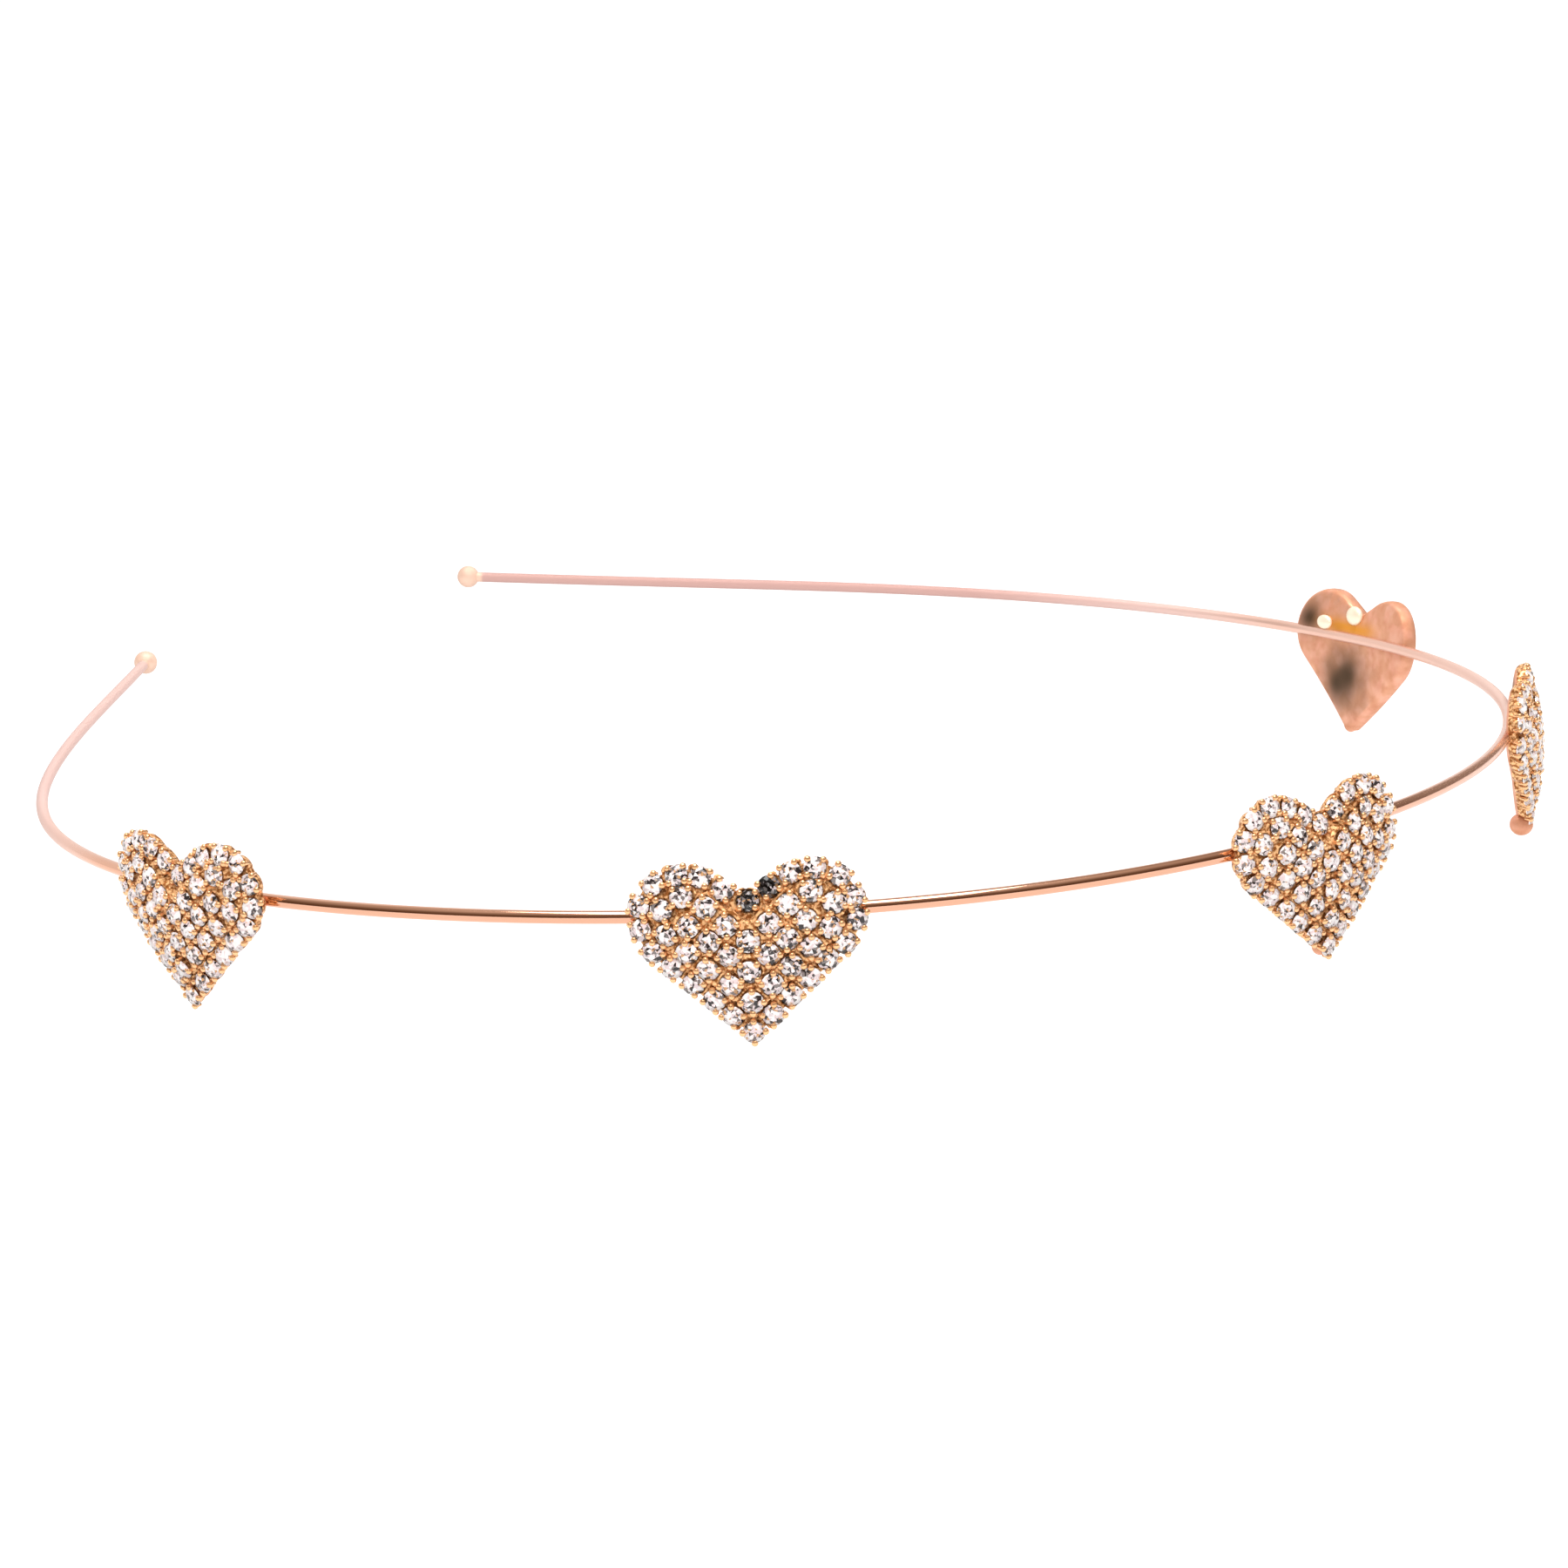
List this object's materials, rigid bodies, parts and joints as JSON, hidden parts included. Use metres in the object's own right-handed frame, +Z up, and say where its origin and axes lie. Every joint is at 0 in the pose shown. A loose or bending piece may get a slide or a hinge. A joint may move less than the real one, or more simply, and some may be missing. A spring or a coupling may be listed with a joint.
{
  "type": "heart headband",
  "caption": "Open springy wire headband with ball-tipped ends, carrying upright heart plaques set with clear faceted stones; worn round or over the head.",
  "frame": {"origin": "under the middle of the headband's box, on the surface that the heart tips rest on", "axes": "+Z up, the middle heart faces -Y, the open ends of the wire point to +Y, +X to the right of a viewer facing the middle heart"},
  "size_m": [0.1748, 0.1808, 0.0191],
  "materials": {
    "rose_gold": "polished rose-gold plating",
    "crystal": "clear, cut in facets and foiled behind"
  },
  "bodies": {
    "root": {"band": "rose_gold", "stones_left_outer": "crystal", "stones_left": "crystal", "stones_middle": "crystal", "stones_right": "crystal", "stones_right_outer": "crystal"}
  },
  "joints": []
}
